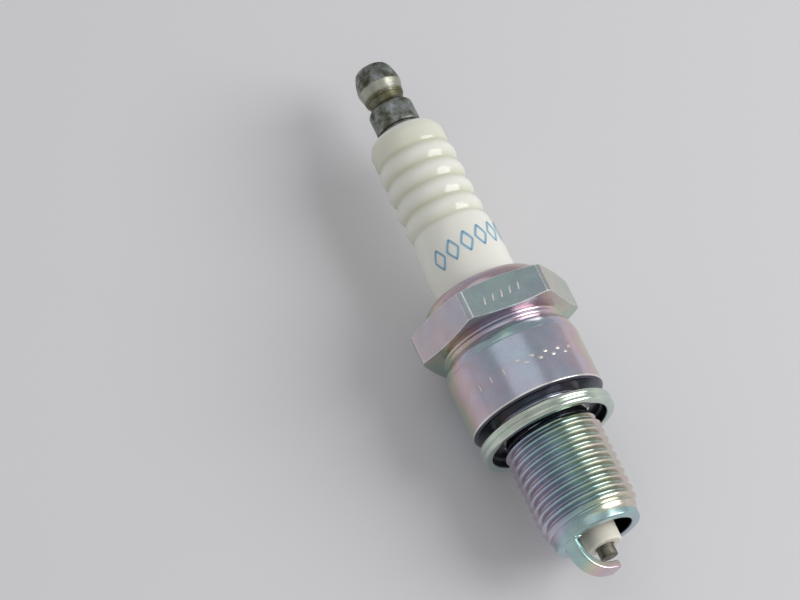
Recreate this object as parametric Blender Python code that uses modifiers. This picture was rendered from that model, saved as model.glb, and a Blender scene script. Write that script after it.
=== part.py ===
"""Spark plug with an M14 x 1.25 thread and a removable terminal nut, as an assembly of 15 pieces.

The plug lies on one flat of its hexagon. Its axis runs along Y, with the terminal towards +Y, and the
origin is the middle of the flat it lies on. Every outline is (radius, height) in millimetres, where
height is the distance from the gasket seat along the axis, positive towards the terminal.
"""

import math

import bmesh
import bpy
from mathutils import Matrix

MM = 0.001
SEGMENTS = 32
STUD_SEGMENTS = 16
FINE_SEGMENTS = 18
SMOOTH_ANGLE = math.radians(32)

# Thread and reach, to the M14 x 1.25 standard.
THREAD_MAJOR = 13.86
THREAD_PITCH = 1.25
THREAD_CORE = 12.44
THREAD_PHASE = 68.0
THREAD_END = -17.55
REACH = 19.0
NECK_DIAMETER = 12.2
NECK_LENGTH = 2.9
NOSE_DIAMETER = 12.2

# Steel shell.
HEX_ACROSS_FLATS = 20.8
HEX_ACROSS_CORNERS = 23.56
HEX_LOW = 12.62
HEX_HIGH = 16.78
BARREL_DIAMETER = 19.4
BARREL_TOP = 8.6
GROOVE_DIAMETER = 16.8
RING_DIAMETER = 17.7
RING_HEIGHT = 11.9
LIP_CENTRE = (7.0, 17.9)
LIP_RADIUS = 1.75
LIP_BORE = 12.34
CHAMBER_DIAMETER = 14.8
LEDGE_HEIGHT = -5.3
LEDGE_BORE = 8.6
LEDGE_RISE = 0.65
CORE_BORE = 10.5
NOSE_BORE = 9.6

# Insulator.
BARREL_RADIUS = 6.05
RIB_RADIUS = 5.68
RIB_DEPTH = 0.42
RIB_PITCH = 2.95
RIB_COUNT = 5
TOP_GROOVE_HEIGHT = 41.97
INSULATOR_TOP = 46.4
INSULATOR_TIP = -20.7
TIP_RADIUS = 2.62
UPPER_BORE = 4.0
LOWER_BORE = 2.7
BORE_STEP = 1.3

# Terminal, electrodes and gasket.
NUT_BASE = 46.95
NUT_TOP = 57.35
NUT_BORE = 4.16
STUD_THREAD = 3.94
STUD_PITCH = 0.7
STUD_TOP = 55.2
STUD_END = 20.5
CENTRE_DIAMETER = 2.5
CENTRE_TIP = -22.3
STRAP_WIDTH = 2.5
STRAP_THICKNESS = 1.15
STRAP_ROLL = -62.8
STRAP_BEND = 3.1
SPARK_GAP = 0.95
STRAP_OVERHANG = 0.15
GASKET_MIDDLE = -2.45
GASKET_RADIUS = 9.76
FIT = 0.06


def clear_scene():
    for thing in list(bpy.data.objects):
        bpy.data.objects.remove(thing, do_unlink=True)


def new_collection(name):
    collection = bpy.data.collections.new(name)
    bpy.context.scene.collection.children.link(collection)
    return collection


def make_material(name, colour, roughness, metallic):
    material = bpy.data.materials.new(name)
    material.use_nodes = True
    shader = material.node_tree.nodes["Principled BSDF"]
    shader.inputs["Base Color"].default_value = (*colour, 1.0)
    shader.inputs["Roughness"].default_value = roughness
    shader.inputs["Metallic"].default_value = metallic
    return material


def arc(centre, radius, start, end, steps):
    """Points on a circle round centre, from one angle to another in degrees, both ends included."""
    points = []
    for step in range(steps + 1):
        angle = math.radians(start + (end - start) * step / steps)
        points.append((centre[0] + radius * math.cos(angle), centre[1] + radius * math.sin(angle)))
    return points


def evaluated_mesh(thing):
    """The mesh of an object with its modifiers applied."""
    bpy.context.view_layer.update()
    graph = bpy.context.evaluated_depsgraph_get()
    return bpy.data.meshes.new_from_object(thing.evaluated_get(graph))


def smooth(mesh):
    mesh.shade_smooth()
    mesh.set_sharp_from_angle(angle=SMOOTH_ANGLE)


def turned(name, outline, collection, pitch=0.0, turns=1, segments=SEGMENTS):
    """An object with the outline turned about Z. The outline runs down its outer side, and is closed
    unless both its ends are on the axis. With a pitch it winds into a helix."""
    mesh = bpy.data.meshes.new(name)
    count = len(outline)
    on_axis = outline[0][0] == 0 and outline[-1][0] == 0
    edges = [(i, i + 1) for i in range(count - 1)]
    if not on_axis:
        edges.append((count - 1, 0))
    points = [(radius * MM, 0.0, height * MM) for radius, height in outline]
    mesh.from_pydata(points, edges, [])
    thing = bpy.data.objects.new(name, mesh)
    collection.objects.link(thing)
    screw = thing.modifiers.new("turning", "SCREW")
    screw.steps = segments
    screw.render_steps = segments
    screw.screw_offset = pitch * MM
    screw.iterations = turns
    screw.use_merge_vertices = pitch == 0
    screw.merge_threshold = 1e-6
    return thing


def apply_modifiers(thing):
    """Replaces the object's mesh with its evaluated mesh, shaded smooth between its sharp edges."""
    mesh = evaluated_mesh(thing)
    thing.modifiers.clear()
    thing.data = mesh
    smooth(mesh)


def as_cutter(thing, cutters):
    """Hides a helper from renders and keeps it in the cutters' collection."""
    for collection in list(thing.users_collection):
        collection.objects.unlink(thing)
    cutters.objects.link(thing)
    thing.hide_render = True
    thing.display_type = "WIRE"
    return thing


def boolean(thing, other, operation):
    modifier = thing.modifiers.new(operation.lower(), "BOOLEAN")
    modifier.operation = operation
    modifier.object = other
    modifier.solver = "EXACT"


def thread_ridge(name, major, core, pitch, low, high, run_outs, segments, cutters):
    """A helical ridge between two heights, whose crest fades over a run-out at the low and high ends."""
    crest, root = major / 2, core / 2
    half_crest = pitch / 16
    below = root - pitch / 8
    half_base = half_crest + (crest - below) * math.tan(math.radians(30))
    tooth = [
        (below, half_base),
        (crest, half_crest),
        (crest, -half_crest),
        (below, -half_base),
    ]
    turns = math.ceil((high - low) / pitch) + 1
    ridge = turned(name, tooth, cutters, pitch, turns, segments)
    apply_modifiers(ridge)
    work = bmesh.new()
    work.from_mesh(ridge.data)
    bmesh.ops.translate(work, verts=work.verts, vec=(0, 0, (low - pitch / 2) * MM))
    bmesh.ops.holes_fill(work, edges=work.edges)
    bmesh.ops.recalc_face_normals(work, faces=work.faces)
    work.to_mesh(ridge.data)
    work.free()
    as_cutter(ridge, cutters)
    inside = below - 0.2
    envelope = turned(
        name + "_envelope",
        [
            (inside, high),
            (root, high),
            (crest + 0.1, high - run_outs[1]),
            (crest + 0.1, low + run_outs[0]),
            (root, low),
            (inside, low),
        ],
        cutters,
        segments=segments,
    )
    as_cutter(envelope, cutters)
    boolean(ridge, envelope, "INTERSECT")
    return ridge


def hexagon_cutter(cutters):
    """A ring round the hexagon, which cuts the six flats from the turned blank."""
    work = bmesh.new()
    bmesh.ops.create_cone(
        work,
        cap_ends=True,
        segments=6,
        radius1=HEX_ACROSS_FLATS / math.sqrt(3) * MM,
        radius2=HEX_ACROSS_FLATS / math.sqrt(3) * MM,
        depth=12 * MM,
    )
    mesh = bpy.data.meshes.new("hexagon")
    work.to_mesh(mesh)
    work.free()
    hexagon = bpy.data.objects.new("hexagon", mesh)
    cutters.objects.link(hexagon)
    hexagon.location.z = (HEX_LOW + HEX_HIGH) / 2 * MM
    hexagon.rotation_euler.z = math.radians(30)
    as_cutter(hexagon, cutters)
    ring = turned(
        "flats_cutter",
        [(0, HEX_HIGH + 1.4), (14, HEX_HIGH + 1.4), (14, HEX_LOW - 1.2), (0, HEX_LOW - 1.2)],
        cutters,
    )
    as_cutter(ring, cutters)
    boolean(ring, hexagon, "DIFFERENCE")
    return ring


def shell_outline():
    """The turned outside of the shell, with the hexagon still round."""
    lip = arc(LIP_CENTRE, LIP_RADIUS, 112, 0, 6)
    shoulder_foot = (GROOVE_DIAMETER / 2 + 0.1, 10.72)
    barrel = BARREL_DIAMETER / 2
    shoulder = []
    for step in range(1, 5):
        turn = math.radians(90 * step / 5)
        radius = shoulder_foot[0] + (barrel - 0.1 - shoulder_foot[0]) * math.sin(turn)
        height = BARREL_TOP + 0.3 + (shoulder_foot[1] - BARREL_TOP - 0.3) * math.cos(turn)
        shoulder.append((radius, height))
    corners = HEX_ACROSS_CORNERS / 2
    return [
        (0, 19.2),
        (6.1, 19.2),
        *lip,
        (LIP_CENTRE[0] + LIP_RADIUS, 17.52),
        (corners, HEX_HIGH),
        (corners, HEX_LOW),
        (RING_DIAMETER / 2, RING_HEIGHT),
        (RING_DIAMETER / 2 - 0.05, RING_HEIGHT - 0.2),
        (GROOVE_DIAMETER / 2, 11.35),
        (GROOVE_DIAMETER / 2, 10.95),
        shoulder_foot,
        *shoulder,
        (barrel, BARREL_TOP),
        (barrel, 0.4),
        (barrel - 0.4, 0),
        (NECK_DIAMETER / 2 + 0.15, 0),
        (NECK_DIAMETER / 2, -0.15),
        (NECK_DIAMETER / 2, -NECK_LENGTH),
        (THREAD_CORE / 2, -NECK_LENGTH - 0.1),
        (THREAD_CORE / 2, 1.6 - REACH),
        (NOSE_DIAMETER / 2, 0.15 - REACH),
        (NOSE_DIAMETER / 2 - 0.15, -REACH),
        (0, -REACH),
    ]


def shell_bore_outline():
    """The hollow of the shell: lip, packing chamber, cone, ledge and firing end."""
    ledge = LEDGE_HEIGHT
    return [
        (0, 20.5),
        (LIP_BORE / 2, 20.5),
        (LIP_BORE / 2, 18.9),
        (CHAMBER_DIAMETER / 2, 18.4),
        (CHAMBER_DIAMETER / 2, 4.7),
        (CORE_BORE / 2, 2.6),
        (CORE_BORE / 2, ledge + LEDGE_RISE),
        (LEDGE_BORE / 2, ledge),
        (LEDGE_BORE / 2, ledge - 1.1),
        (NOSE_BORE / 2, ledge - 1.6),
        (NOSE_BORE / 2, -REACH - 1),
        (0, -REACH - 1),
    ]


def make_shell(collection, cutters, steel):
    shell = turned("metal_shell", shell_outline(), collection)
    bore = as_cutter(turned("shell_bore", shell_bore_outline(), cutters), cutters)
    ridge = thread_ridge(
        "shell_thread",
        THREAD_MAJOR,
        THREAD_CORE,
        THREAD_PITCH,
        THREAD_END,
        -NECK_LENGTH - 0.05,
        (1.9, 1.2),
        SEGMENTS,
        cutters,
    )
    ridge.rotation_euler.z = math.radians(THREAD_PHASE)
    boolean(shell, hexagon_cutter(cutters), "DIFFERENCE")
    boolean(shell, ridge, "UNION")
    boolean(shell, bore, "DIFFERENCE")
    apply_modifiers(shell)
    shell.data.materials.append(steel)
    return shell


def rib_outline():
    """The ribbed part of the insulator: rounded ribs between narrower grooves, fading into the barrel."""
    points = []
    steps = 4
    for step in range(1, RIB_COUNT * steps):
        turn = step / steps
        height = TOP_GROOVE_HEIGHT + RIB_PITCH / 2 - turn * RIB_PITCH
        crest = abs(math.cos(math.pi * turn)) ** 0.8
        fade = 0.75 if turn > RIB_COUNT - 1 else 1.0
        swell = 0.05 * turn / RIB_COUNT
        points.append((RIB_RADIUS + swell - RIB_DEPTH * fade * (1 - crest), height))
    return points


def insulator_outline():
    """Down the outside of the insulator, and back up its bore."""
    shoulder = arc((3.05, 43.83), 2.5, 88, 8, 5)
    last_rib = TOP_GROOVE_HEIGHT + RIB_PITCH / 2 - RIB_COUNT * RIB_PITCH
    upper, lower = UPPER_BORE / 2, LOWER_BORE / 2
    return [
        (upper + 0.2, INSULATOR_TOP),
        (3.0, INSULATOR_TOP),
        *shoulder,
        *rib_outline(),
        (5.9, last_rib),
        (6.0, last_rib - 1.6),
        (BARREL_RADIUS, last_rib - 3.2),
        (BARREL_RADIUS, 9.9),
        (7.25, 9.3),
        (7.25, 4.85),
        (5.12, 2.75),
        (5.12, LEDGE_HEIGHT + 1.05),
        (4.15, LEDGE_HEIGHT + 0.3),
        (3.9, LEDGE_HEIGHT - 1.2),
        (2.9, -13.5),
        (TIP_RADIUS, -18.0),
        (TIP_RADIUS, INSULATOR_TIP + 0.3),
        (TIP_RADIUS - 0.1, INSULATOR_TIP + 0.08),
        (TIP_RADIUS - 0.3, INSULATOR_TIP),
        (lower + 0.05, INSULATOR_TIP),
        (lower, INSULATOR_TIP + 0.05),
        (lower, BORE_STEP - 0.7),
        (upper, BORE_STEP),
        (upper, INSULATOR_TOP - 0.2),
    ]


def nut_outline():
    """Down the outside of the terminal nut, and up its blind threaded hole."""
    return [
        (0, NUT_TOP),
        (1.3, NUT_TOP),
        (1.9, NUT_TOP - 0.1),
        (2.35, NUT_TOP - 0.33),
        (2.62, NUT_TOP - 0.72),
        (2.76, NUT_TOP - 1.2),
        (3.02, 55.35),
        (3.18, 54.5),
        (3.23, 54.05),
        (3.18, 53.8),
        (2.97, 52.95),
        (2.77, 52.05),
        (2.58, 51.55),
        (2.5, 51.2),
        (2.52, 50.98),
        (2.7, 50.8),
        (2.95, 50.55),
        (3.14, 50.2),
        (3.24, 49.75),
        (3.27, NUT_BASE + 0.15),
        (3.12, NUT_BASE),
        (NUT_BORE / 2 + 0.2, NUT_BASE),
        (NUT_BORE / 2, NUT_BASE + 0.2),
        (NUT_BORE / 2, 55.6),
        (0, 56.1),
    ]


def make_nut(collection, plating):
    nut = turned("terminal_nut", nut_outline(), collection)
    apply_modifiers(nut)
    nut.data.materials.append(plating)
    return nut


def make_stud(collection, cutters, plating):
    """The terminal stud: a core for the M4 thread, a collar, the shank and a ribbed end in the glass."""
    core = 1.6
    outline = [(0, STUD_TOP), (core - 0.3, STUD_TOP), (core, STUD_TOP - 0.3)]
    outline += [(core, NUT_BASE - 0.05), (2.95, NUT_BASE - 0.05), (2.95, INSULATOR_TOP + FIT)]
    outline += [(UPPER_BORE / 2 - 0.1, INSULATOR_TOP + FIT), (UPPER_BORE / 2 - 0.1, STUD_END + 5.2)]
    for rib in range(3):
        height = STUD_END + 4.9 - 1.5 * rib
        outline += [(1.35, height), (1.6, height - 0.5), (1.6, height - 1.0)]
    outline += [(1.2, STUD_END + 0.1), (0, STUD_END + 0.1)]
    stud = turned("terminal_stud", outline, collection, segments=STUD_SEGMENTS)
    ridge = thread_ridge(
        "stud_thread",
        STUD_THREAD,
        2 * core,
        STUD_PITCH,
        NUT_BASE + 0.1,
        STUD_TOP - 0.2,
        (0.5, 0.5),
        STUD_SEGMENTS,
        cutters,
    )
    boolean(stud, ridge, "UNION")
    apply_modifiers(stud)
    stud.data.materials.append(plating)
    return stud


def make_turned_piece(name, outline, material, collection, segments=SEGMENTS):
    piece = turned(name, outline, collection, segments=segments)
    apply_modifiers(piece)
    piece.data.materials.append(material)
    return piece


def tube_outline(outer, inner, high, low):
    return [(outer, high), (outer, low), (inner, low), (inner, high)]


def gasket_outline():
    """A folded washer: two rolls outside with a groove between, a flat foot, and a lip inside."""
    middle = GASKET_MIDDLE
    roll = 0.52
    centre = GASKET_RADIUS - roll
    top = arc((centre, middle + 0.48), roll, 90, -50, 4)
    foot = arc((centre, middle - 0.48), roll, 50, -90, 4)
    return [
        (6.62, middle + 0.9),
        (8.0, middle + 1.0),
        *top,
        *foot,
        (8.7, middle - 1.0),
        (8.45, middle - 0.85),
        (8.4, middle - 0.55),
        (8.5, middle + 0.1),
        (8.2, middle + 0.45),
        (6.62, middle + 0.5),
    ]


def strap_outline():
    """The bent strap in its own plane, as (distance from the axis, height): up the leg's outside, along
    the underside of the tip, and back along the inside."""
    outer = NOSE_DIAMETER / 2 - 0.45
    inner = outer - STRAP_THICKNESS
    root = -REACH - FIT / 2
    face = CENTRE_TIP - SPARK_GAP
    under = face - STRAP_THICKNESS
    centre = (inner - STRAP_BEND, face + STRAP_BEND)
    outside = arc(centre, STRAP_BEND + STRAP_THICKNESS, 0, -90, 8)
    inside = arc(centre, STRAP_BEND, -90, 0, 8)
    tip = -STRAP_OVERHANG
    return [(outer, root), *outside, (tip, under), (tip, face), *inside, (inner, root)]


def make_strap(collection, steel):
    """A flat outline extruded by half its width to each side, with its edges bevelled."""
    curve = bpy.data.curves.new("ground_electrode", "CURVE")
    curve.dimensions = "2D"
    curve.fill_mode = "BOTH"
    curve.extrude = STRAP_WIDTH / 2 * MM
    outline = strap_outline()
    spline = curve.splines.new("POLY")
    spline.points.add(len(outline) - 1)
    for point, (distance, height) in zip(spline.points, outline):
        point.co = (distance * MM, height * MM, 0, 1)
    spline.use_cyclic_u = True
    flat = bpy.data.objects.new("ground_electrode_outline", curve)
    collection.objects.link(flat)
    mesh = evaluated_mesh(flat)
    bpy.data.objects.remove(flat, do_unlink=True)
    work = bmesh.new()
    work.from_mesh(mesh)
    bmesh.ops.remove_doubles(work, verts=work.verts, dist=1e-7)
    bmesh.ops.recalc_face_normals(work, faces=work.faces)
    work.to_mesh(mesh)
    work.free()
    strap = bpy.data.objects.new("ground_electrode", mesh)
    collection.objects.link(strap)
    bevel = strap.modifiers.new("edges", "BEVEL")
    bevel.width = 0.15 * MM
    bevel.segments = 2
    bevel.limit_method = "ANGLE"
    bevel.angle_limit = math.radians(50)
    apply_modifiers(strap)
    mesh = strap.data
    mesh.materials.append(steel)
    turn = math.radians(STRAP_ROLL - 90)
    across = (math.cos(turn), math.sin(turn), 0)
    side = (math.sin(turn), -math.cos(turn), 0)
    rows = [(across[i], (0, 0, 1)[i], side[i]) for i in range(3)]
    strap.matrix_local = Matrix(rows).to_4x4()
    return strap


def make_electrode(collection, nickel, copper):
    """A nickel sheath with a head on the bore's step, and the copper core inside it."""
    radius = CENTRE_DIAMETER / 2
    head, step = BORE_STEP + 0.9, BORE_STEP
    core = 0.65
    sheath = [
        (0, CENTRE_TIP + 3.5),
        (core, CENTRE_TIP + 3.8),
        (core, head),
        (UPPER_BORE / 2 - 0.1, head),
        (UPPER_BORE / 2 - 0.1, step + 0.15),
        (radius, step - 0.6),
        (radius, CENTRE_TIP + 0.08),
        (radius - 0.08, CENTRE_TIP),
        (0, CENTRE_TIP),
    ]
    make_turned_piece("centre_electrode", sheath, nickel, collection)
    rod = [(0, head), (core - FIT, head), (core - FIT, CENTRE_TIP + 3.9), (0, CENTRE_TIP + 3.7)]
    make_turned_piece("electrode_copper_core", rod, copper, collection, FINE_SEGMENTS)


def make_inside(collection, glass, carbon, talc, steel, brass):
    """The seals, resistor and packings between the visible pieces."""
    bore = UPPER_BORE / 2 - FIT
    cup = [
        (0, STUD_END),
        (1.68, STUD_END),
        (1.68, STUD_END + 5.0),
        (bore, STUD_END + 5.0),
        (bore, STUD_END - 3.5),
        (0, STUD_END - 3.5),
    ]
    make_turned_piece("upper_glass_seal", cup, glass, collection, FINE_SEGMENTS)
    resistor = [(0, STUD_END - 3.6), (bore, STUD_END - 3.6), (bore, 6.1), (0, 6.1)]
    make_turned_piece("resistor_element", resistor, carbon, collection, FINE_SEGMENTS)
    plug = [(0, 6.0), (bore, 6.0), (bore, BORE_STEP + 1.0), (0, BORE_STEP + 1.0)]
    make_turned_piece("lower_glass_seal", plug, glass, collection, FINE_SEGMENTS)
    wire = 0.6
    middle = (BARREL_RADIUS + CHAMBER_DIAMETER / 2) / 2
    for name, height in (("upper_packing_ring", 17.7), ("lower_packing_ring", 10.45)):
        section = arc((middle, height), wire, 90, -270, 8)[:-1]
        make_turned_piece(name, section, steel, collection)
    gap = 0.1
    talc_ring = tube_outline(CHAMBER_DIAMETER / 2 - gap, BARREL_RADIUS + gap, 17.0, 11.15)
    make_turned_piece("talc_packing", talc_ring, talc, collection)
    slope = LEDGE_RISE / (CORE_BORE / 2 - LEDGE_BORE / 2)
    low = LEDGE_HEIGHT + 0.12
    washer = [
        (4.9, low + 0.2 + 0.5 * slope),
        (4.9, low + 0.5 * slope),
        (4.4, low + FIT),
        (4.4, low + 0.2),
    ]
    make_turned_piece("seat_washer", washer, brass, collection)


def main():
    clear_scene()
    collection = new_collection("spark_plug")
    cutters = new_collection("cutters")
    zinc = make_material("zinc_plated_steel", (0.62, 0.63, 0.66), 0.28, 1.0)
    nut_plating = make_material("dull_nickel", (0.34, 0.35, 0.33), 0.45, 1.0)
    ceramic = make_material("glazed_alumina", (0.87, 0.86, 0.8), 0.18, 0.0)
    crushed_steel = make_material("crushed_steel", (0.66, 0.7, 0.64), 0.3, 1.0)
    nickel = make_material("nickel_alloy", (0.2, 0.19, 0.17), 0.5, 1.0)
    copper = make_material("copper", (0.8, 0.42, 0.28), 0.35, 1.0)
    glass = make_material("conductive_glass", (0.16, 0.15, 0.14), 0.4, 0.0)
    carbon = make_material("carbon_resistor", (0.06, 0.06, 0.06), 0.7, 0.0)
    talc = make_material("pressed_talc", (0.75, 0.75, 0.72), 0.9, 0.0)
    brass = make_material("soft_washer", (0.7, 0.5, 0.35), 0.4, 1.0)

    make_shell(collection, cutters, zinc)
    make_turned_piece("insulator", insulator_outline(), ceramic, collection)
    make_nut(collection, nut_plating)
    make_stud(collection, cutters, nut_plating)
    make_turned_piece("gasket", gasket_outline(), crushed_steel, collection)
    make_strap(collection, zinc)
    make_electrode(collection, nickel, copper)
    make_inside(collection, glass, carbon, talc, zinc, brass)

    axis = bpy.data.objects.new("plug_axis", None)
    collection.objects.link(axis)
    for thing in list(collection.objects):
        if thing is not axis:
            thing.parent = axis
    axis.rotation_euler.x = math.radians(-90)
    axis.location = (0, -(HEX_LOW + HEX_HIGH) / 2 * MM, HEX_ACROSS_FLATS / 2 * MM)


main()
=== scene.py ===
"""Looks of a spark plug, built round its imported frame.

Every outline is (radius, height) in millimetres, where height is the distance from the gasket seat along
the plug's axis, positive towards the terminal. Angles round the axis are in degrees from straight up,
positive towards +X.
"""

import math

import bmesh
import bpy
from mathutils import Matrix, Vector


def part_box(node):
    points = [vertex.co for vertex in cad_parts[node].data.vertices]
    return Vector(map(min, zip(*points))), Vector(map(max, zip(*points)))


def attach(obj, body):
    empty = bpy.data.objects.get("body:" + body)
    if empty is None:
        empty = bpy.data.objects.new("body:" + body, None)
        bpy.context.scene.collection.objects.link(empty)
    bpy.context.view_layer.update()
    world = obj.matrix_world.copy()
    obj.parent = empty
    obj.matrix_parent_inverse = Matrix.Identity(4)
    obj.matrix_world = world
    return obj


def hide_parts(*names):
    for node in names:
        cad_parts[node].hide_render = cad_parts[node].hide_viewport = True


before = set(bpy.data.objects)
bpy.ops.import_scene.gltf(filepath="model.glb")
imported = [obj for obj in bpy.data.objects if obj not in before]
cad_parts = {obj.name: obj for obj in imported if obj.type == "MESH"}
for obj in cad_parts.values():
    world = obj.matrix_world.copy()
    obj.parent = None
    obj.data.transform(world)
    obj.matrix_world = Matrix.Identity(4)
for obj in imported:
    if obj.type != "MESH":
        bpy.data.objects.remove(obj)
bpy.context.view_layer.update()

MM = 0.001
# From the gasket seat to the end of the shell.
REACH = 19.0
shell_low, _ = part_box("metal_shell")
insulator_low, insulator_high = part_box("insulator")
AXIS_Z = (insulator_low.z + insulator_high.z) / 2
SEAT_Y = shell_low.y + REACH * MM

# The thread's radii and pitch, a crest's height straight above the axis, the thread's two ends, and the
# length over which it fades out at each.
THREAD_MAJOR = 6.93
THREAD_CORE = 6.22
THREAD_PITCH = 1.25
THREAD_START = -17.475
THREAD_TOP = -2.98
THREAD_LOW = -17.5
TOP_RUNOUT = 1.15
LOW_RUNOUT = 1.75

# The hexagon's half width over its flats and over its turned corners, the ends of those corners, and the
# radius of the barrel below it.
FLAT = 10.4
CORNER = 11.78
HEX_LOW = 12.62
HEX_HIGH = 16.78
BARREL = 9.7


def point(radius, height, turn):
    """The place in the frame, in metres, of a radius, height and turn."""
    across = radius * math.sin(math.radians(turn)) * MM
    up = radius * math.cos(math.radians(turn)) * MM
    return Vector((across, SEAT_Y + height * MM, AXIS_Z + up))


# ---------------------------------------------------------------- meshes


def rounded(corners):
    """A polyline with each corner rounded. A corner is (radius, height) or (radius, height, cut),
    where cut is how far from the corner the curve starts; without it the curve takes most of the side."""
    steps = 5
    most = 0.48
    points = [tuple(corners[0][:2])]
    for index in range(1, len(corners) - 1):
        here = Vector(corners[index][:2])
        before = Vector(corners[index - 1][:2]) - here
        after = Vector(corners[index + 1][:2]) - here
        cut = corners[index][2] if len(corners[index]) > 2 else math.inf
        if cut == 0:
            points.append(tuple(here))
            continue
        start = here + before.normalized() * min(cut, before.length * most)
        end = here + after.normalized() * min(cut, after.length * most)
        for step in range(steps + 1):
            t = step / steps
            points.append(tuple(start * (1 - t) ** 2 + here * 2 * t * (1 - t) + end * t**2))
    points.append(tuple(corners[-1][:2]))
    return points


def arc(centre, radius, start, end, steps):
    """Points on a circle from one angle to another in degrees, both ends included."""
    turns = [math.radians(start + (end - start) * i / steps) for i in range(steps + 1)]
    return [(centre[0] + radius * math.cos(t), centre[1] + radius * math.sin(t)) for t in turns]


def between(start, end, share):
    """A place part of the way from one (radius, height) to another."""
    return tuple(a + (b - a) * share for a, b in zip(start, end))


def finish_mesh(work, name, material, body, sharp):
    """Turns a bmesh into a piece that rides on a body. Edges above the sharp angle, in degrees, stay
    crisp, and the merge distances are far below any detail."""
    bmesh.ops.remove_doubles(work, verts=work.verts, dist=0.0002 * MM)
    bmesh.ops.dissolve_degenerate(work, edges=work.edges, dist=0.0001 * MM)
    bmesh.ops.recalc_face_normals(work, faces=work.faces)
    mesh = bpy.data.meshes.new(name)
    work.to_mesh(mesh)
    work.free()
    mesh.shade_smooth()
    mesh.set_sharp_from_angle(angle=math.radians(sharp))
    mesh.materials.append(material)
    piece = bpy.data.objects.new(name, mesh)
    bpy.context.scene.collection.objects.link(piece)
    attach(piece, body)
    return piece


def grid_faces(work, rings, closed):
    """Joins rings of vertices into quads. The rings close round the axis; closed also joins the last
    ring to the first."""
    count = len(rings[0])
    pairs = list(zip(rings, rings[1:]))
    if closed:
        pairs.append((rings[-1], rings[0]))
    for upper, lower in pairs:
        for j in range(count):
            k = (j + 1) % count
            corners = []
            for vertex in (upper[j], upper[k], lower[k], lower[j]):
                if vertex not in corners:
                    corners.append(vertex)
            if len(corners) > 2:
                work.faces.new(corners)


def capped_tube(work, rings):
    """Joins rings of vertices into a tube and closes both its ends."""
    grid_faces(work, rings, False)
    work.faces.new(rings[0])
    work.faces.new(list(reversed(rings[-1])))


def lathe(name, outline, material, body, segments=128, sharp=34.0):
    """A piece turned about the plug's axis, from its outline down the outside and back up the inside."""
    work = bmesh.new()
    turns = [360 * j / segments for j in range(segments)]
    rings = []
    for radius, height in outline:
        if radius == 0:
            pole = work.verts.new(point(0, height, 0))
            rings.append([pole] * len(turns))
        else:
            rings.append([work.verts.new(point(radius, height, turn)) for turn in turns])
    on_axis = outline[0][0] == 0 and outline[-1][0] == 0
    grid_faces(work, rings, not on_axis)
    return finish_mesh(work, name, material, body, sharp)


# ---------------------------------------------------------------- materials


def fill_ramp(node, stops):
    """Sets the stops of a colour ramp. A stop is (position, grey) or (position, (red, green, blue))."""
    elements = node.color_ramp.elements
    while len(elements) > 1:
        elements.remove(elements[-1])
    for index, (position, colour) in enumerate(stops):
        element = elements[0] if index == 0 else elements.new(position)
        element.position = position
        rgb = colour if isinstance(colour, tuple) else (colour, colour, colour)
        element.color = (*rgb, 1.0)


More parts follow.
